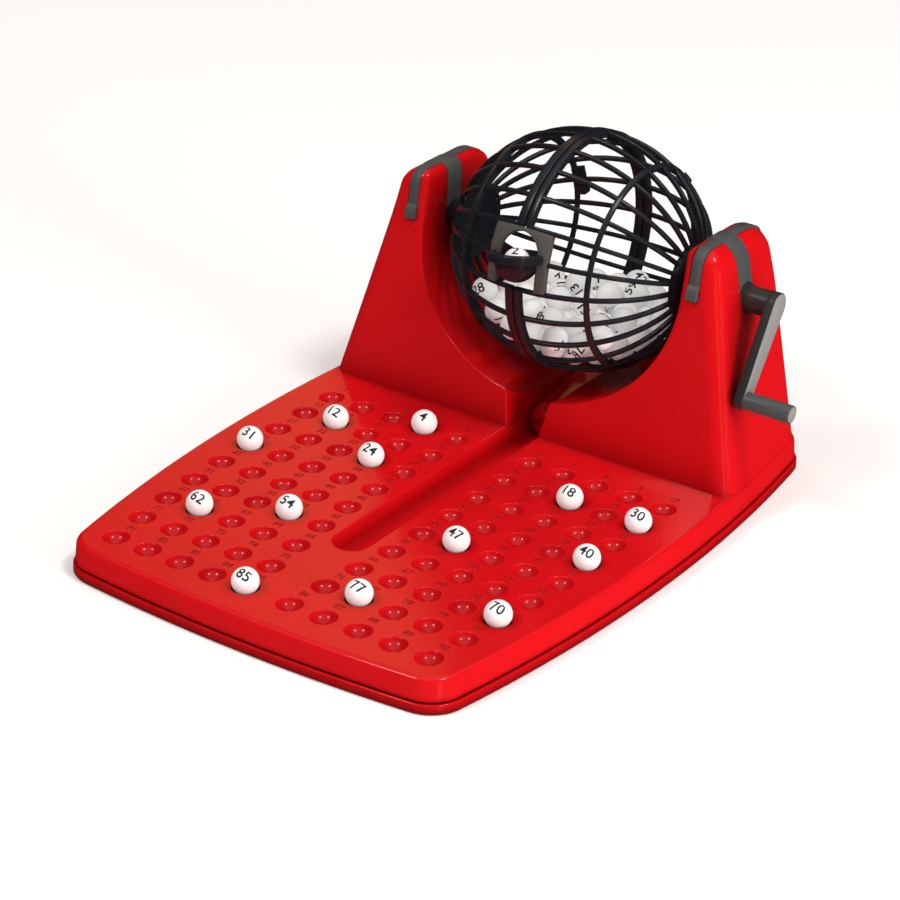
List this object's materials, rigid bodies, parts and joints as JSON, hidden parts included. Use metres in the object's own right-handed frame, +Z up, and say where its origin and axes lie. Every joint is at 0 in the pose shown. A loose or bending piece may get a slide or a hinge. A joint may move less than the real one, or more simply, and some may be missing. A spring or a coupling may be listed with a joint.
{
  "type": "bingo cage",
  "caption": "Tabletop bingo cage: turning ribbed ball cage with crank and catch cup on a red stand with a numbered-ball pit tray and ball channel.",
  "frame": {"origin": "on the table surface under the centre of the base, on the underside of the base plate", "axes": "+X to the right along the cage axle towards the crank, +Y to the back, +Z up"},
  "size_m": [0.2499, 0.316, 0.154],
  "materials": {
    "red_moulding": "glossy red",
    "clip": "satin dark grey",
    "crank": "satin grey",
    "cage": "glossy black",
    "window_frame": "matte brown-grey",
    "ball": "glossy white with black numerals"
  },
  "bodies": {
    "base": {"base_plate": "red_moulding", "base_tray": "red_moulding", "cage_stand": "red_moulding", "ball_heap": "ball"},
    "left_clip": {"left_axle_clip": "clip"},
    "right_clip": {"right_axle_clip": "clip"},
    "cage": {"left_cage_half": "cage", "right_cage_half": "cage", "window_frame": "window_frame", "ball_cup": "cage", "ring_latch": "cage", "crank": "crank"},
    "cup_ball": {"cup_ball": "ball"},
    "tray_ball_01": {"tray_ball_01": "ball"},
    "tray_ball_02": {"tray_ball_02": "ball"},
    "tray_ball_03": {"tray_ball_03": "ball"},
    "tray_ball_04": {"tray_ball_04": "ball"},
    "tray_ball_05": {"tray_ball_05": "ball"},
    "tray_ball_06": {"tray_ball_06": "ball"},
    "tray_ball_07": {"tray_ball_07": "ball"},
    "tray_ball_08": {"tray_ball_08": "ball"},
    "tray_ball_09": {"tray_ball_09": "ball"},
    "tray_ball_10": {"tray_ball_10": "ball"},
    "tray_ball_11": {"tray_ball_11": "ball"},
    "tray_ball_12": {"tray_ball_12": "ball"},
    "tray_ball_13": {"tray_ball_13": "ball"}
  },
  "joints": [
    {"name": "cage_spin", "type": "hinge", "parent": "base", "child": "cage", "pos_m": [0, 0.106, 0.0965], "axis": [1, 0, 0], "continuous": true},
    {"name": "left_clip_lift", "type": "slide", "parent": "base", "child": "left_clip", "axis": [0, 0, 1], "range_m": [0, 0.03]},
    {"name": "right_clip_lift", "type": "slide", "parent": "base", "child": "right_clip", "axis": [0, 0, 1], "range_m": [0, 0.03]},
    {"name": "cup_ball_lift", "type": "slide", "parent": "cage", "child": "cup_ball", "axis": [0, -0.349, 0.9371], "range_m": [0, 0.006]},
    {"name": "tray_ball_01_lift", "type": "slide", "parent": "base", "child": "tray_ball_01", "axis": [0, 0, 1], "range_m": [0, 0.03]},
    {"name": "tray_ball_02_lift", "type": "slide", "parent": "base", "child": "tray_ball_02", "axis": [0, 0, 1], "range_m": [0, 0.03]},
    {"name": "tray_ball_03_lift", "type": "slide", "parent": "base", "child": "tray_ball_03", "axis": [0, 0, 1], "range_m": [0, 0.03]},
    {"name": "tray_ball_04_lift", "type": "slide", "parent": "base", "child": "tray_ball_04", "axis": [0, 0, 1], "range_m": [0, 0.03]},
    {"name": "tray_ball_05_lift", "type": "slide", "parent": "base", "child": "tray_ball_05", "axis": [0, 0, 1], "range_m": [0, 0.03]},
    {"name": "tray_ball_06_lift", "type": "slide", "parent": "base", "child": "tray_ball_06", "axis": [0, 0, 1], "range_m": [0, 0.03]},
    {"name": "tray_ball_07_lift", "type": "slide", "parent": "base", "child": "tray_ball_07", "axis": [0, 0, 1], "range_m": [0, 0.03]},
    {"name": "tray_ball_08_lift", "type": "slide", "parent": "base", "child": "tray_ball_08", "axis": [0, 0, 1], "range_m": [0, 0.03]},
    {"name": "tray_ball_09_lift", "type": "slide", "parent": "base", "child": "tray_ball_09", "axis": [0, 0, 1], "range_m": [0, 0.03]},
    {"name": "tray_ball_10_lift", "type": "slide", "parent": "base", "child": "tray_ball_10", "axis": [0, 0, 1], "range_m": [0, 0.03]},
    {"name": "tray_ball_11_lift", "type": "slide", "parent": "base", "child": "tray_ball_11", "axis": [0, 0, 1], "range_m": [0, 0.03]},
    {"name": "tray_ball_12_lift", "type": "slide", "parent": "base", "child": "tray_ball_12", "axis": [0, 0, 1], "range_m": [0, 0.03]},
    {"name": "tray_ball_13_lift", "type": "slide", "parent": "base", "child": "tray_ball_13", "axis": [0, 0, 1], "range_m": [0, 0.03]}
  ]
}
